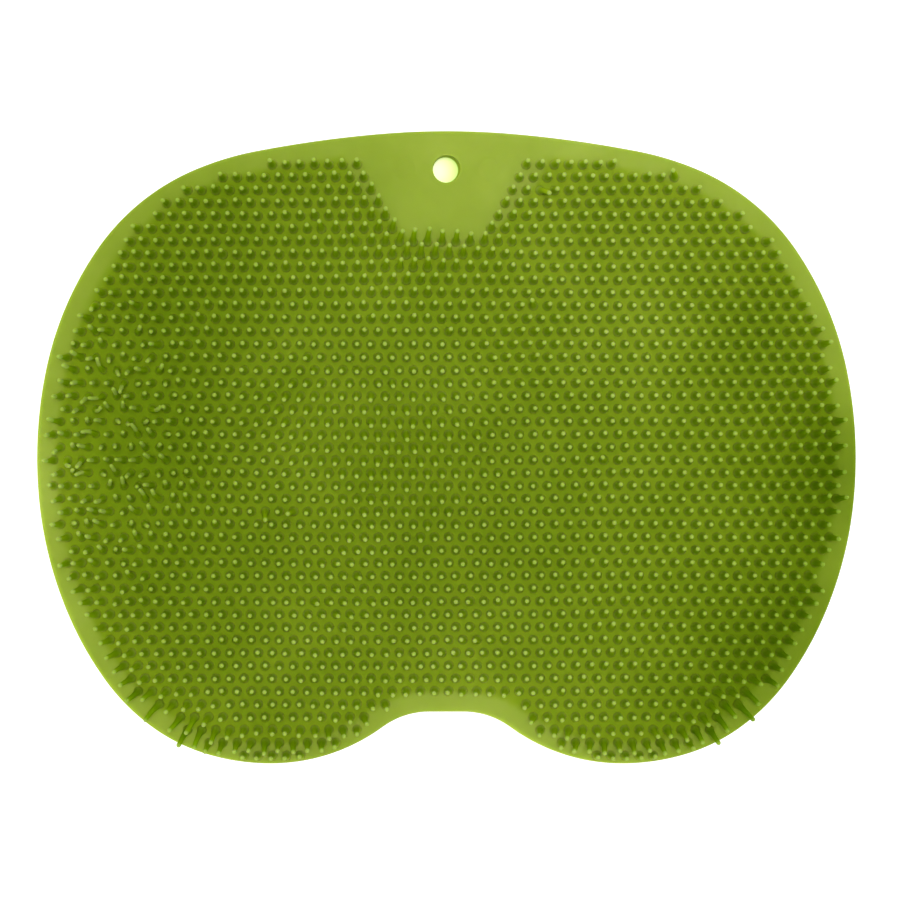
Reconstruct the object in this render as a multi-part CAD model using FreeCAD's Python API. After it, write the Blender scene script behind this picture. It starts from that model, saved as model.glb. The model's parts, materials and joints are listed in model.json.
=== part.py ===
import FreeCAD, Part
import math
import os

# Shower foot scrubber: a silicone mat moulded in one piece. Bristles stand on its top, small
# suction cups under it hold it to the shower floor, and a hole at the back hangs it up to dry.
# Millimetres, +Z up, +X across the mat, +Y towards the hanging hole. The origin is below the
# middle of the mat, level with the lips of the suction cups.

V = FreeCAD.Vector

# Outline of the sheet
MAT_WIDTH = 300.0
MAT_DEPTH = 232.0
LOBE_SPREAD = 128.8         # between the lowest points of the two front lobes
NOTCH_DEPTH = 19.0          # how far the front notch reaches in from the lobes
NOTCH_FLAT = 12.6           # straight stretch at the top of the notch
NOTCH_ROUND = 28.8          # radius of the hollow at each side of the notch

# Where one side's curve passes between the back and the lobe, as shares of half the width
# and half the depth: the shape of the curve, whatever the mat's size
SIDE_CURVE = [(0.357, 0.961), (0.673, 0.841), (0.877, 0.582), (1.0, -0.034), (0.923, -0.534),
              (0.680, -0.918)]
CURVE_TOLERANCE = 0.2       # how far the arcs that make up this curve may leave it

# Sheet
SHEET_THICKNESS = 2.5
EDGE_BEVEL = 0.8            # along the top edge; the lower edge is the mould's parting line
RIM_STEP = 2.0              # between the points of the outline that borders are measured from

# Hanging hole
HOLE_DIAMETER = 10.0
HOLE_BACK_EDGE = 14.0       # from the back edge to the middle of the hole

# Bristles: slim three-sided spikes, in rows that are staggered by half a pitch
BRISTLE_HEIGHT = 10.0
BRISTLE_RADIUS = 2.7        # to the corners of the three-sided foot
BRISTLE_PITCH = 6.35
ROW_PITCH = 5.78
SIDE_BORDER = 7.0           # bare rim, from the outline to the middle of the nearest bristle
BACK_BORDER = 12.5          # from the back edge to the first row

# Bare patch round the hanging hole, which narrows towards the front
PATCH_BACK_WIDTH = 58.0
PATCH_FRONT_WIDTH = 30.0
PATCH_LENGTH = 37.0         # from the back edge

# Suction cups, in rows and columns that leave room for the hanging hole
CUP_SIDES = 8
CUP_HEIGHT = 4.0
CUP_HOLLOW = 2.2            # depth of the hollow
CUP_NECK_RADIUS = 3.9
CUP_LIP_RADIUS = 5.6
CUP_LIP_WIDTH = 0.8
CUP_COLUMN_PITCH = 31.0
CUP_ROW_PITCH = 34.0
CUP_EDGE_GAP = 5.5          # least distance from a cup's lip to the outline

SHEET_BOTTOM = CUP_HEIGHT
SHEET_TOP = SHEET_BOTTOM + SHEET_THICKNESS
BACK_EDGE = MAT_DEPTH / 2
FRONT_EDGE = -MAT_DEPTH / 2
HOLE_CENTRE = V(0, BACK_EDGE - HOLE_BACK_EDGE, SHEET_BOTTOM)


def side_curve(side):
    """From the middle of the back edge round one side (1 right, -1 left) to its lobe."""
    points = [V(0, BACK_EDGE, SHEET_BOTTOM)]
    for across, along in SIDE_CURVE:
        points.append(V(side * across * MAT_WIDTH / 2, along * MAT_DEPTH / 2, SHEET_BOTTOM))
    points.append(V(side * LOBE_SPREAD / 2, FRONT_EDGE, SHEET_BOTTOM))
    curve = Part.BSplineCurve()
    outward = V(side, 0, 0)
    curve.interpolate(Points=points, InitialTangent=outward, FinalTangent=-outward, Scale=False)
    return [arc.toShape() for arc in curve.toBiArcs(CURVE_TOLERANCE)]


def notch_side(side):
    """From the lobe's lowest point to the flat of the notch: two arcs that meet smoothly."""
    reach = (LOBE_SPREAD - NOTCH_FLAT) / 2
    turn = 2 * math.atan(NOTCH_DEPTH / reach)
    lobe_round = reach / math.sin(turn) - NOTCH_ROUND
    lobe_centre = V(side * LOBE_SPREAD / 2, FRONT_EDGE + lobe_round, SHEET_BOTTOM)
    hollow_centre = V(side * NOTCH_FLAT / 2, FRONT_EDGE + NOTCH_DEPTH - NOTCH_ROUND, SHEET_BOTTOM)

    def lobe_point(angle):
        return lobe_centre + V(-side * math.sin(angle), -math.cos(angle), 0) * lobe_round

    def hollow_point(angle):
        return hollow_centre + V(side * math.sin(angle), math.cos(angle), 0) * NOTCH_ROUND

    lobe = Part.Arc(lobe_point(0), lobe_point(turn / 2), lobe_point(turn))
    hollow = Part.Arc(hollow_point(turn), hollow_point(turn / 2), hollow_point(0))
    return [lobe.toShape(), hollow.toShape()]


def outline():
    notch_line = FRONT_EDGE + NOTCH_DEPTH
    flat = Part.LineSegment(V(-NOTCH_FLAT / 2, notch_line, SHEET_BOTTOM),
                            V(NOTCH_FLAT / 2, notch_line, SHEET_BOTTOM))
    edges = side_curve(1) + notch_side(1) + [flat.toShape()] + notch_side(-1) + side_curve(-1)
    return Part.Wire(Part.__sortEdges__(edges))


def bare_patch():
    """Corners of the keystone without bristles, widest at the back edge."""
    front = BACK_EDGE - PATCH_LENGTH
    taper = (PATCH_BACK_WIDTH - PATCH_FRONT_WIDTH) / (PATCH_LENGTH - BACK_BORDER)
    back_width = PATCH_BACK_WIDTH + taper * BACK_BORDER
    return [V(-back_width / 2, BACK_EDGE, 0), V(back_width / 2, BACK_EDGE, 0),
            V(PATCH_FRONT_WIDTH / 2, front, 0), V(-PATCH_FRONT_WIDTH / 2, front, 0)]


def inside(place, corners):
    """Whether a place lies within a closed line of corners, seen from above."""
    crossings = 0
    for start, end in zip(corners, corners[1:] + corners[:1]):
        if (start.y > place.y) != (end.y > place.y):
            across = start.x + (place.y - start.y) * (end.x - start.x) / (end.y - start.y)
            crossings += across > place.x
    return crossings % 2 == 1


def clear_of_edge(place, rim, border):
    """Whether a place lies on the sheet and at least the border away from its outline."""
    nearest = min(math.hypot(place.x - point.x, place.y - point.y) for point in rim)
    return nearest >= border and inside(place, rim)


def lattice(column_pitch, row_pitch, first_row, stagger):
    """Places over the whole mat, from the first row to the front, with one column at x = 0."""
    rows = int((first_row - FRONT_EDGE) / row_pitch) + 1
    columns = int(MAT_WIDTH / 2 / column_pitch) + 1
    for row in range(rows):
        shift = stagger * (row % 2)
        for column in range(-columns, columns + 1):
            yield V(column * column_pitch + shift, first_row - row * row_pitch, 0)


def pyramid(sides, radius, foot, tip):
    """A pyramid on a regular polygon round the Z axis, with a flat side towards +X."""
    corners = []
    for corner in range(sides + 1):
        angle = 2 * math.pi * (corner + 0.5) / sides
        corners.append(V(radius * math.cos(angle), radius * math.sin(angle), foot))
    return Part.makeLoft([Part.makePolygon(corners), Part.Vertex(0, 0, tip)], True, True)


def suction_cup():
    """A neck that flares down to a thin lip, hollow below."""
    flare_tip = CUP_HEIGHT * CUP_LIP_RADIUS / (CUP_LIP_RADIUS - CUP_NECK_RADIUS)
    above_neck = Part.makeCylinder(CUP_LIP_RADIUS, flare_tip, V(0, 0, CUP_HEIGHT))
    flare = pyramid(CUP_SIDES, CUP_LIP_RADIUS, 0, flare_tip).cut(above_neck)
    return flare.cut(pyramid(CUP_SIDES, CUP_LIP_RADIUS - CUP_LIP_WIDTH, 0, CUP_HOLLOW)).Solids[0]


def bristles(rim):
    spike = pyramid(3, BRISTLE_RADIUS, SHEET_TOP, SHEET_TOP + BRISTLE_HEIGHT)
    patch = bare_patch()
    places = lattice(BRISTLE_PITCH, ROW_PITCH, BACK_EDGE - BACK_BORDER, BRISTLE_PITCH / 2)
    return [spike.translated(place) for place in places
            if clear_of_edge(place, rim, SIDE_BORDER) and not inside(place, patch)]


def suction_cups(rim):
    """The middle of the lattice moves by half a column, so two cups flank the hanging hole."""
    cup = suction_cup()
    half_column = V(CUP_COLUMN_PITCH / 2, 0, 0)
    places = [place + half_column for place in lattice(CUP_COLUMN_PITCH, CUP_ROW_PITCH, HOLE_CENTRE.y, 0)]
    return [cup.translated(place) for place in places
            if clear_of_edge(place, rim, CUP_LIP_RADIUS + CUP_EDGE_GAP)]


def sheet(edge):
    body = Part.Face(edge).extrude(V(0, 0, SHEET_THICKNESS))
    mid_height = (SHEET_BOTTOM + SHEET_TOP) / 2
    body = body.makeChamfer(EDGE_BEVEL, [side for side in body.Edges if side.BoundBox.ZMin > mid_height])
    hole = Part.makeCylinder(HOLE_DIAMETER / 2, SHEET_THICKNESS, HOLE_CENTRE)
    return body.cut(hole)


def scrubber_mat():
    edge = outline()
    rim = edge.discretize(Distance=RIM_STEP)
    moulded_on = bristles(rim) + suction_cups(rim)
    return sheet(edge).fuse(Part.makeCompound(moulded_on)).Solids[0]


os.makedirs("parts", exist_ok=True)
scrubber_mat().exportStep("parts/scrubber_mat.step")
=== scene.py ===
import json
import math
from collections import namedtuple

import bpy
import numpy as np
from bpy.props import FloatProperty, FloatVectorProperty, IntProperty, PointerProperty
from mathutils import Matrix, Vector
from mathutils.geometry import delaunay_2d_cdt


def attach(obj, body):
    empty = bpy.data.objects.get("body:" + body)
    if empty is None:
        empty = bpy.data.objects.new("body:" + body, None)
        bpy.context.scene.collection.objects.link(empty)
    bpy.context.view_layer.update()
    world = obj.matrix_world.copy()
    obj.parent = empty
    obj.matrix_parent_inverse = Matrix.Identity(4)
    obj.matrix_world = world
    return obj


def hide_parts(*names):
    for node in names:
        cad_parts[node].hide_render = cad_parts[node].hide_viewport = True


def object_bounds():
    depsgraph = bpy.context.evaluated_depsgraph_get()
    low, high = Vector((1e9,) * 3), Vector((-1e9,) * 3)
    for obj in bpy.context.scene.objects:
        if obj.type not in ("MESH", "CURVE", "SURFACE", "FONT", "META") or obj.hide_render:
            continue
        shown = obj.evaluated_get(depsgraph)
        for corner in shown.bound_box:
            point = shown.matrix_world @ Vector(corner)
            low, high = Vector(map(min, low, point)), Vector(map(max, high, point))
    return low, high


# Shower foot scrubber: a green silicone mat, moulded in one piece, seen from straight above.
# The sheet follows the outline of the frame's solid. Its bristles have the real pitch here, and
# each one leans and bends in its own way.

bl_info = {
    "name": "Shower foot scrubber",
    "version": (1, 0, 0),
    "blender": (4, 5, 0),
    "location": "View3D > Sidebar > Scrubber",
    "description": "Builds a moulded silicone foot scrubber mat with bristles and suction cups",
    "category": "Add Mesh",
}

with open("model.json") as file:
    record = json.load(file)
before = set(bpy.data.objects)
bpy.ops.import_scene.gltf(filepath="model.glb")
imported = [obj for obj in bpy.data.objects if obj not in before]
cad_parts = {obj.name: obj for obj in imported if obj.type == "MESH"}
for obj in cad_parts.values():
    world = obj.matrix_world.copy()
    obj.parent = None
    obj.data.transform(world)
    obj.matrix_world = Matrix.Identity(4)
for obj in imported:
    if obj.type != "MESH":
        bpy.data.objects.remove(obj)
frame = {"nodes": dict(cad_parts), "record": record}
CAD_LOW, CAD_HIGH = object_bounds()
MM = 0.001
HOLE = next(mount for mount in frame["record"]["mounts"] if mount["name"] == "hanging_hole")
HOLE_CENTRE = Vector(HOLE["pos_m"])
HOLE_RADIUS = HOLE["dims"]["r_mm"] * MM
SHEET_THICKNESS = HOLE["dims"]["length_mm"] * MM
SHEET_BOTTOM = HOLE_CENTRE.z - SHEET_THICKNESS / 2
SHEET_TOP = HOLE_CENTRE.z + SHEET_THICKNESS / 2
BACK_EDGE = CAD_HIGH.y
FRONT_EDGE = CAD_LOW.y

# Points along the outline of the sheet, of the hanging hole and of the bare patch
OUTLINE_POINTS = 720
HOLE_POINTS = 72
PATCH_POINTS = 200


def srgb(code):
    """A hex colour as linear red, green and blue."""
    parts = [int(code[place:place + 2], 16) / 255 for place in (1, 3, 5)]
    return [part / 12.92 if part <= 0.04045 else ((part + 0.055) / 1.055) ** 2.4 for part in parts]


def length(name, description, millimetres):
    return FloatProperty(name=name, description=description, default=millimetres * MM,
                         unit="LENGTH", precision=5)


def share(name, description, default):
    return FloatProperty(name=name, description=description, default=default, min=0, subtype="FACTOR")


def colour(name, description, code):
    return FloatVectorProperty(name=name, description=description, default=srgb(code), size=3,
                               subtype="COLOR", min=0, max=1)


class SheetSizes(bpy.types.PropertyGroup):
    rim_round: length("Rim round", "Radius of the rounded top edge", 0.9)
    parting_round: length("Parting round", "Radius of the lower edge at the mould's parting line", 0.3)
    hole_round: length("Hole round", "Radius of the edges of the hanging hole", 0.3)
    mesh_step: length("Mesh step", "Spacing of the sheet's mesh among the bristles", 2.6)
    patch_step: length("Patch step", "Spacing of the sheet's mesh in the bare patch", 1.1)
    sway: length("Sway", "How far the soft sheet rises and dips", 0.25)
    flat_rim: length("Flat rim", "How far in from the outline the sway grows to its full height", 8)
    sink: length("Sink marks", "Depth of the marks that the suction cups leave on top", 0.18)
    sink_width: length("Sink mark width", "Width of those marks", 0.8)


class BristleSizes(bpy.types.PropertyGroup):
    pitch: length("Pitch", "Distance between bristles in a row", 5.166)
    row_pitch: length("Row pitch", "Distance between rows", 4.704)
    row_start: length("Row start", "Where the first row's middle bristle stands", 3.38)
    height: length("Height", "Length of a bristle", 10.0)
    foot_radius: length("Foot radius", "Radius at the foot of the flared root", 1.8)
    shaft_radius: length("Shaft radius", "Radius of the shaft above the flared root", 0.85)
    tip_radius: length("Tip radius", "Radius at the rounded tip", 0.8)
    root_height: length("Root height", "How fast the flared root narrows", 2.8)
    sunk: length("Sunk", "How far a bristle's foot reaches into the sheet", 0.2)
    side_border: length("Side border", "Bare rim from the outline to the nearest bristle", 5.9)
    front_border: length("Front border", "Bare rim at the lobes' lowest points", 2.1)
    lobe_depth: length("Lobe depth", "How far from the front the narrow border reaches", 12)
    back_border: length("Back border", "From the back edge to the first row", 12.5)
    patch_back: length("Patch back width", "Width of the bare patch at the first row", 57.5)
    patch_front: length("Patch front width", "Width of the bare patch at its front", 28.0)
    patch_length: length("Patch length", "From the back edge to the patch's front", 37.5)
    sides: IntProperty(name="Sides", description="Faces round a bristle", default=10, min=6)


class BristleLean(bpy.types.PropertyGroup):
    side: length("Side splay", "How far bristles at the sides lean over the rim", 1.8)
    back: length("Back splay", "How far bristles at the back lean over the rim", 0.4)
    depth: length("Splay depth", "How far in from the bare rim this splay fades", 5)
    front: length("Front splay", "How far bristles at the front of the lobes lean forwards", 3.6)
    front_gap: length("Front splay gap", "Distance from the outline where that is most", 7.5)
    front_width: length("Front splay width", "How far round that distance it fades", 5)
    lobe_start: length("Lobe start", "How far from the mat's middle the front splay is full", 60)
    corner_depth: length("Corner depth", "How far in from the bare rim the corners' lean fades", 6)
    clearance: length("Clearance", "Least distance seen between a tip and the outline", 1.8)
    shadow_lean: length("Shadow lean", "Lean over the rim that darkens a shaft most", 4)
    shadow_depth: length("Shadow depth", "How far in from the bare rim that darkening fades", 7)
    scatter: length("Scatter", "Usual scatter of the tips", 0.22)
    messy_scatter: length("Messy scatter", "Scatter of the tips where bristles lie every which way", 2.2)
    stray_scatter: length("Stray scatter", "Scatter of the few stray tips", 1.6)
    stray_share: share("Stray share", "Share of the bristles that stray", 0.008)


class CupSizes(bpy.types.PropertyGroup):
    neck_radius: length("Neck radius", "Radius where a cup meets the sheet", 3.9)
    sunk: length("Sunk", "How far a cup's neck reaches into the sheet", 0.3)
    neck_blend: length("Neck blend", "How far a cup's neck spreads where it meets the sheet", 0.5)
    lip_radius: length("Lip radius", "Radius of the thin lip on the floor", 5.6)
    lip_width: length("Lip width", "Width of the lip's flat", 0.8)
    lip_height: length("Lip height", "Height of the lip's outer edge", 0.25)
    lip_bevel: length("Lip bevel", "Bevel from that edge to the flat", 0.1)
    hollow: length("Hollow", "Depth of the hollow", 2.2)
    column_pitch: length("Column pitch", "Distance between columns of cups", 31.0)
    row_pitch: length("Row pitch", "Distance between rows of cups", 34.0)
    edge_gap: length("Edge gap", "Least distance from a lip to the outline", 5.5)
    sides: IntProperty(name="Sides", description="Faces round a cup", default=40, min=12)


class SiliconeLook(bpy.types.PropertyGroup):
    sheet: colour("Sheet", "Green of the bare sheet", "#92A638")
    # Painted shade: this deeper, fuller green of the sheet between the bristles stands in for the shade
    # that they cast there
    between: colour("Between bristles", "Deeper green of the sheet between the bristles", "#839C16")
    # Painted glow: this paler yellow green, laid on the rim's left and front side, stands in for light
    # through the thin edge
    rim: colour("Rim", "Yellow green of the thin rounded rim", "#C2DC3C")
    # Painted shade: this deeper green, laid on the shafts, stands in for the shade among the bristles
    shaft: colour("Shaft", "Deeper green of a bristle's shaft", "#7D9907")
    # Painted glow: this paler green, laid on the tips, stands in for light that the thin rounded tips catch
    # and let through
    tip: colour("Tip", "Pale green of a bristle's rounded tip", "#93A84A")
    roughness: share("Roughness", "How matt the moulded surface is", 0.6)
    shine: share("Shine", "Strength of the surface reflection", 0.03)
    glow: share("Glow", "How much light passes below the surface", 0.8)
    glow_depth: length("Glow depth", "How far light travels below the surface", 3.5)


class StageLook(bpy.types.PropertyGroup):
    floor: colour("Floor", "Colour of the floor", "#F4F4F2")
    floor_lift: share("Floor lift", "How much paler the floor shows than it is lit", 0.55)
    floor_size: length("Floor size", "From the floor's middle to its sides", 20000)
    hole_light: colour("Hole light", "Floor in the hanging hole, where most light reaches it", "#F4FFC8")
    hole_deep: colour("Hole deep", "Floor in the hanging hole, away from the light", "#C4E070")
    hole_shade: colour("Hole shade", "Crescent of shade at the hole's edge", "#7C9622")
    camera_height: length("Camera height", "From the sheet to the camera", 560)
    frame_width: length("Frame width", "What the camera sees across, at the sheet", 329.7)
    camera_side: length("Camera side", "How far right of the mat's middle the camera stands", 1.3)
    camera_front: length("Camera front", "How far in front of the mat's middle the camera stands", 1.0)
    sky: share("Sky", "Strength of the even light from all round", 0.68)
    key: FloatProperty(name="Key", description="Power of the lamp", default=8.5, unit="POWER")
    lamp_size: length("Lamp size", "Side of the square lamp", 350)
    lamp_place: FloatVectorProperty(name="Lamp place", description="Where the lamp hangs",
                                    default=(0.05, 0.08, 1.2), size=3, subtype="TRANSLATION", unit="LENGTH")


# Helpers for shapes

def catmull(before, start, end, after, part):
    """A point on the smooth curve from start to end, which heeds the points before and after."""
    return 0.5 * (2 * start + (end - before) * part
                  + (2 * before - 5 * start + 4 * end - after) * part ** 2
                  + (3 * start - before - 3 * end + after) * part ** 3)


def smooth_loop(points, count):
    """The same closed line with evenly spaced points on a smooth curve."""
    fine = []
    for part in (0, 0.25, 0.5, 0.75):
        fine.append(catmull(np.roll(points, 1, 0), points, np.roll(points, -1, 0),
                            np.roll(points, -2, 0), part))
    fine = np.stack(fine, 1).reshape(-1, 2)
    closed = np.vstack([fine, fine[:1]])
    along = np.concatenate([[0], np.cumsum(np.hypot(*np.diff(closed, axis=0).T))])
    even = np.linspace(0, along[-1], count, endpoint=False)
    return np.stack([np.interp(even, along, closed[:, axis]) for axis in (0, 1)], 1)


def sheet_outline():
    """The sheet's outline, from the wall of the frame's solid between its two faces."""
    solid = frame["nodes"]["scrubber_mat"]
    margin = 0.1 * MM
    ring = set()
    for vertex in solid.data.vertices:
        place = solid.matrix_world @ vertex.co
        if SHEET_BOTTOM + margin < place.z < SHEET_TOP - margin:
            ring.add((round(place.x, 6), round(place.y, 6)))
    ring = sorted(ring, key=lambda place: math.atan2(place[1], place[0]))
    return smooth_loop(np.array(ring), OUTLINE_POINTS)


def inward(loop):
    """Unit vectors that point into an anticlockwise closed line."""
    run = np.roll(loop, -1, 0) - np.roll(loop, 1, 0)
    run /= np.hypot(*run.T)[:, None]
    return np.stack([-run[:, 1], run[:, 0]], 1)


def within(places, loop):
    """Which places lie inside a closed line."""
    hits = np.zeros(len(places), int)
    for start, end in zip(loop, np.roll(loop, -1, 0)):
        if start[1] == end[1]:
            continue
        level = (start[1] > places[:, 1]) != (end[1] > places[:, 1])
        across = start[0] + (places[:, 1] - start[1]) * (end[0] - start[0]) / (end[1] - start[1])
        hits += level & (across > places[:, 0])
    return hits % 2 == 1


def nearest(places, loop):
    """Distance from each place to the closed line, and the index of the nearest point."""
    gaps = np.hypot(places[:, None, 0] - loop[None, :, 0], places[:, None, 1] - loop[None, :, 1])
    return gaps.min(1), gaps.argmin(1)


def circle(centre, radius, count):
    turn = np.arange(count) * 2 * math.pi / count
    return np.stack([centre[0] + radius * np.cos(turn), centre[1] + radius * np.sin(turn)], 1)


def ring_faces(rings, sides):
    """Faces between rings that climb round an axis, and from the last ring to the tip after it."""
    faces = []
    for level in range(rings - 1):
        low, high = level * sides, (level + 1) * sides
        for step in range(sides):
            beside = (step + 1) % sides
            faces.append((low + step, low + beside, high + beside, high + step))
    last = (rings - 1) * sides
    tip = rings * sides
    faces += [(last + step, last + (step + 1) % sides, tip) for step in range(sides)]
    return faces


def repeat_faces(faces, each, count):
    """The faces of one shape for all its copies, where a copy has so many points each."""
    return [tuple(copy * each + corner for corner in face) for copy in range(count) for face in faces]


# Painted light and shade over the mat: middle and reach in millimetres, and the change
PAINTED_LIGHT_ZONES = [
    ((140, -75), 36, -0.46),
    ((102, -96), 24, -0.14),
    ((150, -10), 26, -0.42),
    ((118, 45), 26, -0.10),
    ((-100, 105), 38, -0.14),
    ((-108, 0), 30, -0.20),
    ((-95, -45), 28, -0.12),
    ((-95, 50), 30, -0.16),
    ((-152, -10), 20, 0.14),
    ((25, -30), 40, -0.08),
    ((40, 100), 34, 0.10),
    ((105, 80), 34, 0.08),
    ((68, 45), 26, 0.14),
    ((20, -100), 40, 0.08),
]


def painted_light_and_shade(places):
    """Painted light and shade over the mat, a slow change of tone: below 1 deeper, above 1 paler."""
    tone = np.ones(len(places))
    for middle, reach, change in PAINTED_LIGHT_ZONES:
        away = np.hypot(places[:, 0] - middle[0] * MM, places[:, 1] - middle[1] * MM) / (reach * MM)
        tone += change * np.exp(-away ** 2)
    return tone


def add_mesh(name, places, faces, tone=0, **attributes):
    """Adds a piece of silicone. Attributes are values at its points that the material reads."""
    mesh = bpy.data.meshes.new(name)
    mesh.from_pydata([tuple(place) for place in places], [], faces)
    # The tone attribute holds painted light and shade: the zones over the mat, plus any painted shade
    # passed in as tone
    attributes["tone"] = painted_light_and_shade(places) + tone
    for key, values in attributes.items():
        mesh.attributes.new(key, "FLOAT", "POINT").data.foreach_set("value", values)
    mesh.materials.append(moulded_silicone())
    mesh.shade_smooth()
    mesh.validate()
    piece = bpy.data.objects.new(name, mesh)
    bpy.context.collection.objects.link(piece)
    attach(piece, "root")
    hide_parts("scrubber_mat")
    return piece


# The material

def add_node(tree, kind, links=(), **settings):
    """Adds a node. Settings name its properties or, with spaces as underscores, its inputs."""
    node = tree.nodes.new(kind)
    for key, value in settings.items():
        if hasattr(node, key):
            setattr(node, key, value)
        else:
            node.inputs[key.replace("_", " ")].default_value = value
    for source, target in links:
        tree.links.new(source, node.inputs[target])
    return node


def moulded_silicone():
    """Silicone rubber, moulded: a satin skin over a body that lets a little light through. The thin tips
    and one side of the rim are painted paler, as painted glow, and the shafts and the sheet between the
    bristles deeper, as painted shade."""
    name = "silicone_rubber_moulded"
    if name in bpy.data.materials:
        return bpy.data.materials[name]
    look = bpy.context.scene.scrubber_silicone
    material = bpy.data.materials.new(name)
    material.use_nodes = True
    tree = material.node_tree
    shader = tree.nodes["Principled BSDF"]
    place = add_node(tree, "ShaderNodeTexCoord").outputs["Object"]

    # Colours laid over each other, each where its attribute is between two values: painted shade on the
    # sheet between the bristles and on the shafts, painted glow on the rim and on the tips
    layers = [("between", look.between, 0.0, 1.0), ("rim", look.rim, 0.0, 1.0),
              ("along", look.shaft, 0.0, 0.35), ("along", look.tip, 0.84, 0.95)]
    paint = None
    for attribute, tint, start, end in layers:
        amount = add_node(tree, "ShaderNodeAttribute", attribute_name=attribute).outputs["Fac"]
        ramp = add_node(tree, "ShaderNodeMapRange", [(amount, "Value")], interpolation_type="SMOOTHSTEP",
                        From_Min=start, From_Max=end)
        mix = add_node(tree, "ShaderNodeMix", [(ramp.outputs[0], 0)], data_type="RGBA")
        mix.inputs[6].default_value = (*look.sheet, 1)
        mix.inputs[7].default_value = (*tint, 1)
        if paint:
            tree.links.new(paint, mix.inputs[6])
        paint = mix.outputs[2]

    # Clouds about 20 mm across vary the colour at random; the painted light and shade of the tone attribute
    #     # make it deeper or paler too. A gamma above 1 also makes it fuller, as thicker silicone and deep
    #     shade are
    clouds = add_node(tree, "ShaderNodeTexNoise", [(place, "Vector")], Scale=45, Detail=3)
    cloud_tone = add_node(tree, "ShaderNodeMapRange", [(clouds.outputs["Fac"], "Value")],
                          From_Min=0.3, From_Max=0.7, To_Min=0.94, To_Max=1.06)
    painted_tone = add_node(tree, "ShaderNodeAttribute", attribute_name="tone").outputs["Fac"]
    tone = add_node(tree, "ShaderNodeMath", [(cloud_tone.outputs[0], 0), (painted_tone, 1)],
                    operation="MULTIPLY")
    depth = add_node(tree, "ShaderNodeMath", [(tone.outputs[0], 1)], operation="SUBTRACT")
    depth.inputs[0].default_value = 2
    shade = add_node(tree, "ShaderNodeGamma", [(paint, "Color"), (depth.outputs[0], "Gamma")])
    tree.links.new(shade.outputs[0], shader.inputs["Base Color"])

    # Fine grain of the mould, about 0.4 mm
    grain = add_node(tree, "ShaderNodeTexNoise", [(place, "Vector")], Scale=2500, Detail=2)
    bump = add_node(tree, "ShaderNodeBump", [(grain.outputs["Fac"], "Height")], Strength=0.15,
                    Distance=0.05 * MM)
    tree.links.new(bump.outputs[0], shader.inputs["Normal"])
    shader.inputs["Roughness"].default_value = look.roughness
    shader.inputs["IOR"].default_value = 1.41
    shader.inputs["Specular IOR Level"].default_value = look.shine
    shader.inputs["Subsurface Weight"].default_value = look.glow
    shader.inputs["Subsurface Radius"].default_value = (0.7, 1.0, 0.2)
    shader.inputs["Subsurface Scale"].default_value = look.glow_depth
    return material


# The sheet

# Sway of the soft sheet: waves in radians per metre, and where they start
LONG_WAVE = (31, 27)
LONG_START = (1.3, -0.4)
SHORT_WAVE = (55, -48)
SHORT_START = 2

# Painted glow on the thin rim: the side of the mat where it is painted palest, and how much of it its wall
# and its top get.
# The rounding counts as top where it is nearly level, in its last share of height.
PAINTED_GLOW_SIDE = (-0.9, -0.44)
WALL_PAINTED_GLOW = 1
TOP_PAINTED_GLOW = 0.3
LEVEL_RIM = 0.2

ROW_SHARE = 0.87            # mesh rows, as a share of the spacing, for nearly equal-sided triangles
MESH_CLEARANCE = 0.6 * MM   # from the rounded rim to the first points of the mesh inside it


def sheet_rise(places, outline, sizes):
    """How far the soft sheet rises or dips at places on its top, none at the outline."""
    x, y = places.T
    long = np.sin(LONG_WAVE[0] * x + LONG_START[0]) * np.cos(LONG_WAVE[1] * y + LONG_START[1])
    short = np.sin(SHORT_WAVE[0] * x + SHORT_WAVE[1] * y + SHORT_START)
    inside = np.minimum(1, nearest(places, outline)[0] / sizes.flat_rim)
    return sizes.sway * (0.5 * long + 0.5 * short) * inside


def sink_marks(places, outline, sizes, neck_radius):
    """Shallow rings on the top of the sheet, over the necks of the suction cups."""
    drop = np.zeros(len(places))
    for cup in cup_places(outline):
        away = np.hypot(places[:, 0] - cup[0], places[:, 1] - cup[1])
        drop += np.exp(-((away - neck_radius) / sizes.sink_width) ** 2)
    return -sizes.sink * drop


def mesh_points(outline, hole_radius, step, sizes, bristles):
    """Evenly spread points for the sheet's flat mesh, finer in the bare patch."""
    def spread(step, low, high):
        places = []
        for row, y in enumerate(np.arange(low[1], high[1], step * ROW_SHARE)):
            xs = np.arange(low[0] + step / 2 * (row % 2), high[0], step)
            places.append(np.stack([xs, np.full(len(xs), y)], 1))
        return np.vstack(places)

    patch_low = (-bristles.patch_back / 2, BACK_EDGE - bristles.patch_length)
    patch_high = (bristles.patch_back / 2, BACK_EDGE)
    coarse = spread(step, (CAD_LOW.x, FRONT_EDGE), (CAD_HIGH.x, BACK_EDGE))
    in_patch = (abs(coarse[:, 0]) < patch_high[0]) & (coarse[:, 1] > patch_low[1])
    fine = spread(sizes.patch_step, patch_low, patch_high)
    places = np.vstack([coarse[~in_patch], fine])
    places = places[within(places, outline)]
    places = places[nearest(places, outline)[0] > MESH_CLEARANCE + sizes.rim_round]
    from_hole = np.hypot(places[:, 0] - HOLE_CENTRE.x, places[:, 1] - HOLE_CENTRE.y)
    return places[from_hole > hole_radius + sizes.patch_step / 2]


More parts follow.
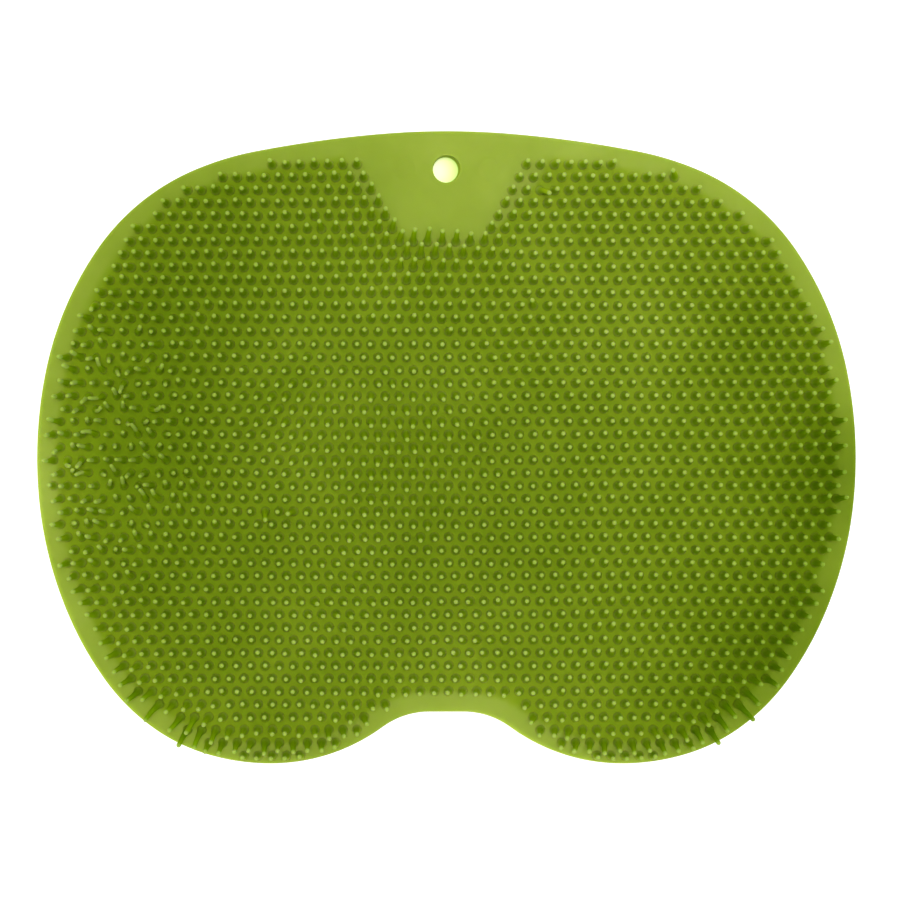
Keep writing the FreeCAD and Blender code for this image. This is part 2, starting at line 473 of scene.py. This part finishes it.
def fill_between(rings, extra):
    """Triangles that fill the flat space inside the first ring and outside the others."""
    corners = np.vstack([*rings, extra])
    edges = []
    first = 0
    for ring in rings:
        count = len(ring)
        edges += [(first + step, first + (step + 1) % count) for step in range(count)]
        first += count
    result = delaunay_2d_cdt([Vector(corner) for corner in corners], edges, [], 0, 1e-9)
    source = [origin[0] for origin in result[3]]
    faces = np.array([[source[corner] for corner in face] for face in result[2]])
    middles = corners[faces].mean(1)
    keep = within(middles, rings[0])
    for ring in rings[1:]:
        keep &= ~within(middles, ring)
    return faces[keep]


def painted_shade_among_bristles(places, outline, bristles):
    """Mask of the painted shade on the sheet between the bristles: 1 where bristles stand round a place on
    the sheet, 0 on the bare rim and the bare patch.
    """
    soft = 3 * MM
    flat = places[:, :2]
    from_rim = (nearest(flat, outline)[0] - bristles.side_border) / soft
    patch = smooth_loop(bare_patch(bristles), PATCH_POINTS)
    from_patch = nearest(flat, patch)[0] / soft * np.where(within(flat, patch), -1, 1)
    return np.clip(np.minimum(from_rim, from_patch), 0, 1)


def wall_profile(lower_round, upper_round, upper_steps):
    """Inset and height of the rings up a wall of the sheet that is rounded at both edges."""
    def corner(radius, steps, face, towards_wall):
        turns = [math.pi / 2 * step / steps for step in range(steps + 1)]
        return [(radius * (1 - math.cos(turn)), face + towards_wall * radius * (1 - math.sin(turn)))
                for turn in turns]

    lower = corner(lower_round, 2, SHEET_BOTTOM, 1)
    upper = corner(upper_round, upper_steps, SHEET_TOP, -1)
    return lower[::-1] + upper


class SheetShape:
    """Points and faces of the sheet: the walls of the rim and of the hole, and its two faces."""

    def __init__(self):
        self.places = np.zeros((0, 3))
        self.faces = []

    def add_places(self, flat, height):
        """Adds points at one height, or each at its own, and returns their indices."""
        first = len(self.places)
        self.places = np.vstack([self.places, np.column_stack([flat, np.full(len(flat), height)])])
        return np.arange(first, len(self.places))

    def add_wall(self, loop, into, profile, hole):
        """Adds the rings up a wall and returns the lowest and the highest, as indices."""
        rings = [self.add_places(loop + into * inset, height) for inset, height in profile]
        for low, high in zip(rings, rings[1:]):
            for quad in zip(low, np.roll(low, -1), np.roll(high, -1), high):
                quad = [int(corner) for corner in quad]
                self.faces.append(quad[::-1] if hole else quad)
        return rings[0], rings[-1]

    def add_face(self, rim, hole, extra, height, top):
        """Fills the space between the rim's ring and the hole's with triangles."""
        rings = [self.places[ring, :2] for ring in (rim, hole)]
        index = np.concatenate([rim, hole, self.add_places(extra, height)])
        for triangle in fill_between(rings, extra):
            triangle = [int(index[corner]) for corner in triangle]
            self.faces.append(triangle if top else triangle[::-1])


class SCRUBBER_OT_sheet(bpy.types.Operator):
    """Adds the silicone sheet with its rounded rim and its hanging hole"""
    bl_idname = "scrubber.sheet"
    bl_label = "Sheet"

    def execute(self, context):
        sizes = context.scene.scrubber_sheet
        bristles = context.scene.scrubber_bristles
        outline = sheet_outline()
        inner = inward(outline)
        around_hole = circle((0, 0), 1, HOLE_POINTS)
        hole_loop = np.array(HOLE_CENTRE[:2]) + around_hole * HOLE_RADIUS
        rim_profile = wall_profile(sizes.parting_round, sizes.rim_round, 5)
        hole_profile = wall_profile(sizes.hole_round, sizes.hole_round, 3)

        shape = SheetShape()
        rim_low, rim_high = shape.add_wall(outline, inner, rim_profile, hole=False)
        hole_low, hole_high = shape.add_wall(hole_loop, around_hole, hole_profile, hole=True)
        hole_radius = HOLE_RADIUS + sizes.hole_round
        below = mesh_points(outline, hole_radius, 2 * sizes.mesh_step, sizes, bristles)
        shape.add_face(rim_low, hole_low, below, SHEET_BOTTOM, top=False)
        above = mesh_points(outline, hole_radius, sizes.mesh_step, sizes, bristles)
        height = SHEET_TOP + sheet_rise(above, outline, sizes)
        height += sink_marks(above, outline, sizes, context.scene.scrubber_cups.neck_radius)
        shape.add_face(rim_high, hole_high, above, height, top=True)

        # Painted glow: the rim is painted paler on its left and front side, most up its wall, standing in
        # for light through the thin edge
        glow_facing = np.clip(-inner @ np.array(PAINTED_GLOW_SIDE), 0, 1)
        level = SHEET_TOP - LEVEL_RIM * sizes.rim_round
        painted_glow = [WALL_PAINTED_GLOW if height < level else TOP_PAINTED_GLOW for inset, height in rim_profile]
        rim = np.zeros(len(shape.places))
        rim[:len(rim_profile) * len(outline)] = np.outer(painted_glow, glow_facing).ravel()
        add_mesh("silicone_sheet", shape.places, shape.faces, rim=rim,
                 between=painted_shade_among_bristles(shape.places, outline, bristles))
        return {"FINISHED"}


# The bristles

# Zones where the bristles lean together: middle, reach and lean, in millimetres
LEAN_ZONES = [
    ((-24, 70), 32, (0.9, 1.7)),
    ((-4, 84), 24, (0.2, 2.3)),
    ((-12, 76), 8, (0.3, 1.2)),
    ((0, 76), 8, (0.0, 1.2)),
    ((12, 76), 8, (0.0, 1.0)),
    ((-83, 58), 24, (0.3, 0.9)),
    ((45, 98), 30, (0.8, 0.2)),
    ((100, 65), 24, (0.4, -0.5)),
    ((27, 36), 20, (1.4, 0.5)),
    ((-17, 3), 34, (0.5, -2.2)),
    ((-59, 14), 18, (-0.5, -1.3)),
    ((129, 6), 26, (0.8, 1.3)),
    ((56, -12), 24, (0.0, 0.7)),
    ((-98, -19), 24, (0.9, 2.0)),
    ((-43, -56), 26, (1.5, -0.4)),
    ((12, -74), 18, (-1.0, 0.4)),
    ((64, -67), 36, (0.1, 1.6)),
    ((-79, -89), 24, (0.8, 0.9)),
]
OUTWARD_LEAN = (-0.004, -0.010)   # growth of the lean with the distance from the middle

# Where the edge of the bristle field differs: side (1 right, -1 left), direction that the outline
# faces and its width, in degrees below sideways, and in millimetres the extra bare rim, the extra
# lean outwards and how far past their usual place the tips may reach
Corner = namedtuple("Corner", "side direction width extra_rim push beyond")
CORNERS = [
    Corner(-1, 59, 13, 2.2, 8.0, 4.2),
    Corner(1, 55, 11, 0.0, 9.0, 6.5),
    Corner(1, 26, 14, 0.6, -1.2, 0.0),
]
LOBE_FRONT = 0.375          # how much the outline faces forwards where the narrow border starts

# Where the bristles lie every which way, in millimetres
MESSY_MIDDLE = (-122, 5)
MESSY_REACH = (26, 50)

SPLAY_SPREAD = (0.6, 1.3)   # least and most of the splay that a bristle has
BACK_FADE = 0.6             # how much less the sides splay where the outline turns to the back
TIP_SHIFT = 0.018           # how far out an upright tip is seen, as a share of its place
MOST_LEAN = 0.85            # as a share of the bristle's length
FOOT_TILT = 0.35            # tilt at the foot, as a share of the mean tilt; the tip's makes up for it
MOST_TILT = 1.5             # radians from upright
CURVE_STEPS = 40            # steps along a bristle's bent line
CURL = 0.35                 # radians that a bristle usually turns aside along its length
MESSY_CURL = 3              # how much more it turns where the bristles lie every which way
MESSY_PALE = 0.9            # how much further down the tips' painted glow reaches there, where flat shafts catch the light
SLIM = 0.35                 # power by which paler bristles are slimmer
SHADOW = 0.4                # how much deeper the tone of a shaft is that leans over the rim
LEAN_SEED = 7
CURL_SEED = 11


def bare_patch(bristles):
    """Corners of the keystone without bristles, widest at the back edge."""
    front = BACK_EDGE - bristles.patch_length
    taper = (bristles.patch_back - bristles.patch_front) / (bristles.patch_length - bristles.back_border)
    back = bristles.patch_back + taper * bristles.back_border
    return np.array([(-back / 2, BACK_EDGE), (-bristles.patch_front / 2, front),
                     (bristles.patch_front / 2, front), (back / 2, BACK_EDGE)])


def corner_share(out, corner):
    """How much the outline faces a corner's way. A side of the notch can face that way too."""
    turn = np.degrees(np.arctan2(-out[:, 1], out[:, 0] * corner.side))
    return np.exp(-((turn - corner.direction) / corner.width) ** 2)


def least_border(places, outline, bristles):
    """How far from the outline a bristle has to stand: less at the front of the two lobes."""
    index = nearest(places, outline)[1]
    out = -inward(outline)[index]
    facing = np.clip((-out[:, 1] - LOBE_FRONT) / (1 - LOBE_FRONT), 0, 1)
    facing *= outline[index, 1] < FRONT_EDGE + bristles.lobe_depth
    border = bristles.side_border + (bristles.front_border - bristles.side_border) * facing
    for corner in CORNERS:
        border += corner.extra_rim * MM * corner_share(out, corner)
    return border


def bristle_feet(outline, bristles):
    """Where the bristles stand: staggered rows, clear of the rim and of the bare patch."""
    first_row = BACK_EDGE - bristles.back_border
    rows = int((first_row - FRONT_EDGE) / bristles.row_pitch) + 1
    columns = int(CAD_HIGH.x / bristles.pitch) + 2
    places = []
    for row in range(rows):
        for column in range(-columns, columns + 1):
            x = bristles.row_start + (column + 0.5 * (row % 2)) * bristles.pitch
            places.append((x, first_row - row * bristles.row_pitch))
    places = np.array(places)
    clear = nearest(places, outline)[0] >= least_border(places, outline, bristles)
    return places[clear & within(places, outline) & ~within(places, bare_patch(bristles))]


def shared_lean(feet):
    """The lean that neighbouring bristles have in common."""
    lean = feet * OUTWARD_LEAN
    for middle, reach, push in LEAN_ZONES:
        away = np.hypot(*(feet - np.array(middle) * MM).T) / (reach * MM)
        lean += np.exp(-away ** 2)[:, None] * np.array(push) * MM
    return lean


def rim_splay(feet, gap, out, depth, splay):
    """How far bristles near the rim lean outwards, and how far past their usual place they may."""
    forwards = np.maximum(0, -out[:, 1])
    backwards = np.maximum(0, out[:, 1])
    aside = abs(out[:, 0]) * (1 - BACK_FADE * backwards)
    reach = (splay.side * aside + splay.back * backwards) * np.exp(-depth / splay.depth)
    on_lobe = np.minimum(1, abs(feet[:, 0]) / splay.lobe_start)
    at_front = np.exp(-((gap - splay.front_gap) / splay.front_width) ** 2)
    reach += splay.front * forwards * at_front * on_lobe
    beyond = np.zeros(len(feet))
    for corner in CORNERS:
        near = corner_share(out, corner) * (feet[:, 0] * corner.side > 0)
        near *= np.exp(-np.maximum(0, depth - corner.extra_rim * MM) / splay.corner_depth)
        reach += near * corner.push * MM
        beyond += near * corner.beyond * MM
    return reach, beyond


def bristle_leans(feet, outline, bristles, splay):
    """How far each tip stands to the side of its foot, how messy the bristles are there, and how
    much it leans over the rim."""
    draw = np.random.default_rng(LEAN_SEED)
    gap, index = nearest(feet, outline)
    out = -inward(outline)[index]
    depth = np.maximum(0, gap - bristles.side_border)
    reach, beyond = rim_splay(feet, gap, out, depth, splay)
    lean = shared_lean(feet)
    lean += out * (reach * draw.uniform(*SPLAY_SPREAD, len(feet)))[:, None]
    lean += draw.normal(0, splay.scatter, lean.shape)
    messy = np.exp(-(((feet / MM - MESSY_MIDDLE) / MESSY_REACH) ** 2).sum(1))
    lean += draw.normal(0, splay.messy_scatter, lean.shape) * messy[:, None]
    stray = draw.random(len(feet)) < splay.stray_share
    lean += draw.normal(0, splay.stray_scatter, lean.shape) * stray[:, None]

    room = gap - splay.clearance - TIP_SHIFT * (feet * out).sum(1) + beyond
    excess = np.maximum(0, (lean * out).sum(1) - room)
    lean -= out * excess[:, None]
    over_rim = np.clip((lean * out).sum(1) / splay.shadow_lean, 0, 1)
    return lean, messy, over_rim * np.exp(-depth / splay.shadow_depth)


def bristle_profile(bristles):
    """Height along the bristle and radius of its rings, from below the sheet's skin to the tip."""
    foot, shaft, tip = bristles.foot_radius, bristles.shaft_radius, bristles.tip_radius
    top = bristles.height - tip

    def radius(rise):
        return shaft + (tip - shaft) * rise / top + (foot - shaft) * math.exp(-rise / bristles.root_height)

    rings = [(-bristles.sunk, foot)]
    rings += [(top * part, radius(top * part)) for part in (0, 0.06, 0.13, 0.22, 0.34, 0.5, 0.68, 0.85, 1)]
    for turn in (30, 60, 80):
        angle = math.radians(turn)
        rings.append((top + tip * math.sin(angle), radius(top) * math.cos(angle)))
    return rings


def bent_lines(leans, curls, height):
    """The line of each bristle from its foot to its tip: steps, bristles, and x, y and z."""
    mean = np.arcsin(np.minimum(MOST_LEAN, np.hypot(*leans.T) / height))
    heading = np.arctan2(leans[:, 1], leans[:, 0])
    lines = np.zeros((CURVE_STEPS + 1, len(leans), 3))
    for step in range(CURVE_STEPS):
        part = (step + 0.5) / CURVE_STEPS
        tilt = np.minimum(mean * (FOOT_TILT + 2 * (1 - FOOT_TILT) * part), MOST_TILT)
        turn = heading + curls * (part - 0.5)
        move = np.stack([np.sin(tilt) * np.cos(turn), np.sin(tilt) * np.sin(turn), np.cos(tilt)], 1)
        lines[step + 1] = lines[step] + move * height / CURVE_STEPS
    return lines


def bristle_mesh(feet, leans, curls, base, pale, bristles):
    """Bristles as closed shapes: places, faces and how far along its bristle each place is. Pale
    ones are above 1: their painted pale tip starts lower, and they are slimmer."""
    rings = bristle_profile(bristles)
    sides, height = bristles.sides, bristles.height
    lines = bent_lines(leans, curls, height)
    slim = pale[:, None, None] ** -SLIM
    angles = (np.arange(sides) * 2 * math.pi / sides)[None, :, None]
    places, along = [], []
    for rise, radius in rings:
        part = max(0, rise) / height * CURVE_STEPS
        low = min(int(part), CURVE_STEPS - 1)
        run = lines[low + 1] - lines[low]
        centre = lines[low] + run * (part - low) + np.array([0, 0, min(0, rise)])
        axis = run / np.linalg.norm(run, axis=1)[:, None]
        if rise <= 0:
            axis = np.tile([0.0, 0.0, 1.0], (len(feet), 1))
        side = np.stack([axis[:, 2], np.zeros(len(feet)), -axis[:, 0]], 1)
        side /= np.linalg.norm(side, axis=1)[:, None]
        other = np.cross(axis, side)
        ring = (side[:, None] * np.cos(angles) + other[:, None] * np.sin(angles)) * radius * slim
        places.append(ring + centre[:, None])
        reach = np.minimum(1, max(0, rise) / height * pale)
        along.append(np.repeat(reach[:, None], sides, 1))
    places = np.concatenate(places + [lines[-1][:, None]], 1)
    along = np.concatenate(along + [np.ones((len(feet), 1))], 1)
    places[:, :, :2] += feet[:, None]
    places[:, :, 2] += base[:, None]
    foot_face = tuple(range(sides))[::-1]
    faces = repeat_faces(ring_faces(len(rings), sides) + [foot_face], places.shape[1], len(feet))
    return places.reshape(-1, 3), faces, along.reshape(-1)


class SCRUBBER_OT_bristles(bpy.types.Operator):
    """Adds the field of soft bristles, in four quarters"""
    bl_idname = "scrubber.bristles"
    bl_label = "Bristle field"

    def execute(self, context):
        scene = context.scene
        bristles = scene.scrubber_bristles
        outline = sheet_outline()
        feet = bristle_feet(outline, bristles)
        leans, messy, over_rim = bristle_leans(feet, outline, bristles, scene.scrubber_lean)
        draw = np.random.default_rng(CURL_SEED)
        curls = draw.normal(0, CURL, len(feet)) * (1 + MESSY_CURL * messy)
        pale = 1 + MESSY_PALE * messy ** 2
        base = SHEET_TOP + sheet_rise(feet, outline, scene.scrubber_sheet)
        for end, rear in (("back", feet[:, 1] > 0), ("front", feet[:, 1] <= 0)):
            for hand, chosen in (("left", feet[:, 0] < 0), ("right", feet[:, 0] >= 0)):
                pick = rear & chosen
                places, faces, along = bristle_mesh(feet[pick], leans[pick], curls[pick], base[pick],
                                                    pale[pick], bristles)
                shadow = np.repeat(over_rim[pick], len(places) // pick.sum()) * (1 - along ** 4)
                add_mesh(f"bristles_{end}_{hand}", places, faces, tone=-SHADOW * shadow, along=along)
        return {"FINISHED"}


# The suction cups

def cup_places(outline):
    """Middles of the cups, in rows and columns that leave room for the hanging hole."""
    cups = bpy.context.scene.scrubber_cups
    rows = int((HOLE_CENTRE.y - FRONT_EDGE) / cups.row_pitch) + 1
    columns = int(CAD_HIGH.x / cups.column_pitch) + 1
    places = []
    for row in range(rows):
        for column in range(-columns, columns + 1):
            places.append(((column + 0.5) * cups.column_pitch, HOLE_CENTRE.y - row * cups.row_pitch))
    places = np.array(places)
    clear = nearest(places, outline)[0] >= cups.lip_radius + cups.edge_gap
    return places[clear & within(places, outline)]


def cup_profile(cups):
    """Radius and height of a cup's rings, from inside the hollow round the lip to the neck."""
    inner = cups.lip_radius - cups.lip_width
    rings = []
    for turn in (75, 55, 35, 15):
        angle = math.radians(turn)
        rings.append((inner * math.cos(angle), cups.hollow * math.sin(angle)))
    rings += [(inner, 0.0), (cups.lip_radius - cups.lip_bevel, 0.0)]
    neck_foot = SHEET_BOTTOM - cups.neck_blend
    for part in (1.0, 0.9, 0.75, 0.55, 0.3, 0.0):
        flare = cups.neck_radius + (cups.lip_radius - cups.neck_radius) * part ** 1.6
        rings.append((flare, neck_foot * (1 - part) + cups.lip_height * part))
    spread = cups.neck_radius + cups.neck_blend
    return rings + [(spread, SHEET_BOTTOM), (spread, SHEET_BOTTOM + cups.sunk)]


class SCRUBBER_OT_cups(bpy.types.Operator):
    """Adds the suction cups under the sheet"""
    bl_idname = "scrubber.cups"
    bl_label = "Suction cups"

    def execute(self, context):
        cups = context.scene.scrubber_cups
        middles = cup_places(sheet_outline())
        profile = cup_profile(cups)
        sides = cups.sides
        turns = circle((0, 0), 1, sides)
        rings = [np.column_stack([turns * radius, np.full(sides, height)]) for radius, height in profile]
        shape = np.vstack(rings + [(0, 0, SHEET_BOTTOM + cups.sunk), (0, 0, cups.hollow)])
        hollow_top = len(shape) - 1
        faces = ring_faces(len(profile), sides)
        faces += [((step + 1) % sides, step, hollow_top) for step in range(sides)]
        places = np.vstack([shape + np.array([x, y, 0]) for x, y in middles])
        add_mesh("suction_cups", places, repeat_faces(faces, len(shape), len(middles)))
        return {"FINISHED"}


# The stage

SHADE_SHIFT = (-0.45, 0.7)   # millimetres from the hole's middle to that of the lit floor in it


def background_rays(tree):
    """1 for the rays that show the background: the camera's, and those off gloss or through glass."""
    path = add_node(tree, "ShaderNodeLightPath")
    seen = path.outputs["Is Camera Ray"]
    for ray in ("Is Glossy Ray", "Is Transmission Ray"):
        seen = add_node(tree, "ShaderNodeMath", [(seen, 0), (path.outputs[ray], 1)],
                        operation="MAXIMUM").outputs[0]
    return seen


def distance_ramp(tree, place, middle, start, end):
    """From 0 at one distance from a point on the floor to 1 at another."""
    away = add_node(tree, "ShaderNodeVectorMath", [(place, 0)], operation="DISTANCE")
    away.inputs[1].default_value = (*middle, 0)
    return add_node(tree, "ShaderNodeMapRange", [(away.outputs["Value"], "Value")],
                    interpolation_type="SMOOTHSTEP", From_Min=start, From_Max=end).outputs[0]


def matt_white_board(look):
    """Board with a matt white face, which shows a shade paler than it is lit. In the hanging hole it
    has the yellow green of the light that comes through the silicone, and a crescent of shade."""
    material = bpy.data.materials.new("matt_white_board")
    material.use_nodes = True
    tree = material.node_tree
    tree.nodes.remove(tree.nodes["Principled BSDF"])
    place = add_node(tree, "ShaderNodeTexCoord").outputs["Object"]
    x, y = HOLE_CENTRE[:2]
    deep = distance_ramp(tree, place, (x - HOLE_RADIUS, y), 0.3 * HOLE_RADIUS, 2.2 * HOLE_RADIUS)
    shade = distance_ramp(tree, place, (x + SHADE_SHIFT[0] * MM, y + SHADE_SHIFT[1] * MM),
                          0.9 * HOLE_RADIUS, 0.98 * HOLE_RADIUS)
    in_hole = distance_ramp(tree, place, (x, y), 2 * HOLE_RADIUS, 1.6 * HOLE_RADIUS)
    tint = add_node(tree, "ShaderNodeMix", [(deep, 0)], data_type="RGBA")
    tint.inputs[6].default_value = (*look.hole_light, 1)
    tint.inputs[7].default_value = (*look.hole_deep, 1)
    edge = add_node(tree, "ShaderNodeMix", [(shade, 0), (tint.outputs[2], 6)], data_type="RGBA")
    edge.inputs[7].default_value = (*look.hole_shade, 1)
    surface = add_node(tree, "ShaderNodeMix", [(in_hole, 0), (edge.outputs[2], 7)], data_type="RGBA")
    surface.inputs[6].default_value = (*look.floor, 1)
    lift = add_node(tree, "ShaderNodeMath", [(background_rays(tree), 0)], operation="MULTIPLY")
    lift.inputs[1].default_value = look.floor_lift
    board = add_node(tree, "ShaderNodeBsdfDiffuse", [(surface.outputs[2], "Color")])
    glow = add_node(tree, "ShaderNodeEmission", [(surface.outputs[2], "Color"),
                                                 (lift.outputs[0], "Strength")])
    both = add_node(tree, "ShaderNodeAddShader", [(board.outputs[0], 0), (glow.outputs[0], 1)])
    tree.links.new(both.outputs[0], tree.nodes["Material Output"].inputs["Surface"])
    return material


class SCRUBBER_OT_stage(bpy.types.Operator):
    """Adds the floor, the lamp, the sky and the camera"""
    bl_idname = "scrubber.stage"
    bl_label = "Stage"

    def execute(self, context):
        look = context.scene.scrubber_stage
        context.scene.view_settings.view_transform = "Standard"
        self.add_floor(look)
        self.add_sky(look, context.scene)
        self.add_lamp(look)
        self.add_camera(look, context.scene)
        return {"FINISHED"}

    def add_object(self, name, data, place=(0, 0, 0)):
        added = bpy.data.objects.new(name, data)
        added.location = place
        bpy.context.collection.objects.link(added)
        return added

    def add_floor(self, look):
        half = look.floor_size
        mesh = bpy.data.meshes.new("floor")
        mesh.from_pydata([(-half, -half, 0), (half, -half, 0), (half, half, 0), (-half, half, 0)], [],
                         [(0, 1, 2, 3)])
        mesh.materials.append(matt_white_board(look))
        self.add_object("floor", mesh)

    def add_sky(self, look, scene):
        world = bpy.data.worlds.new("studio")
        world.use_nodes = True
        tree = world.node_tree
        background = tree.nodes["Background"]
        background.inputs["Color"].default_value = (1, 1, 1, 1)
        strength = add_node(tree, "ShaderNodeMapRange", [(background_rays(tree), "Value")],
                            To_Min=look.sky, To_Max=1.0)
        tree.links.new(strength.outputs[0], background.inputs["Strength"])
        scene.world = world

    def add_lamp(self, look):
        lamp = bpy.data.lights.new("soft_box", "AREA")
        lamp.size = look.lamp_size
        lamp.energy = look.key
        soft_box = self.add_object("soft_box", lamp, look.lamp_place)
        soft_box.rotation_mode = "QUATERNION"
        soft_box.rotation_quaternion = soft_box.location.to_track_quat("Z", "Y")

    def add_camera(self, look, scene):
        lens = bpy.data.cameras.new("camera")
        lens.lens = lens.sensor_width * look.camera_height / look.frame_width
        place = (look.camera_side, -look.camera_front, SHEET_TOP + look.camera_height)
        scene.camera = self.add_object("camera", lens, place)


class SCRUBBER_PT_panel(bpy.types.Panel):
    bl_idname = "SCRUBBER_PT_panel"
    bl_label = "Foot scrubber"
    bl_space_type = "VIEW_3D"
    bl_region_type = "UI"
    bl_category = "Scrubber"

    def draw(self, context):
        for group, operator in PARTS:
            settings = getattr(context.scene, group)
            box = self.layout.box()
            for key in settings.bl_rna.properties.keys():
                if key not in ("name", "rna_type"):
                    box.prop(settings, key)
            if operator:
                box.operator(operator)


GROUPS = {
    "scrubber_sheet": SheetSizes,
    "scrubber_bristles": BristleSizes,
    "scrubber_lean": BristleLean,
    "scrubber_cups": CupSizes,
    "scrubber_silicone": SiliconeLook,
    "scrubber_stage": StageLook,
}
PARTS = [
    ("scrubber_silicone", ""),
    ("scrubber_sheet", "scrubber.sheet"),
    ("scrubber_lean", ""),
    ("scrubber_bristles", "scrubber.bristles"),
    ("scrubber_cups", "scrubber.cups"),
    ("scrubber_stage", "scrubber.stage"),
]
CLASSES = [*GROUPS.values(), SCRUBBER_OT_sheet, SCRUBBER_OT_bristles, SCRUBBER_OT_cups,
           SCRUBBER_OT_stage, SCRUBBER_PT_panel]


def register():
    for item in CLASSES:
        bpy.utils.register_class(item)
    for key, group in GROUPS.items():
        setattr(bpy.types.Scene, key, PointerProperty(type=group))


def unregister():
    for key in GROUPS:
        delattr(bpy.types.Scene, key)
    for item in reversed(CLASSES):
        bpy.utils.unregister_class(item)


def main():
    register()
    bpy.ops.scrubber.sheet()
    bpy.ops.scrubber.bristles()
    bpy.ops.scrubber.cups()
    bpy.ops.scrubber.stage()


if __name__ == "__main__":
    main()
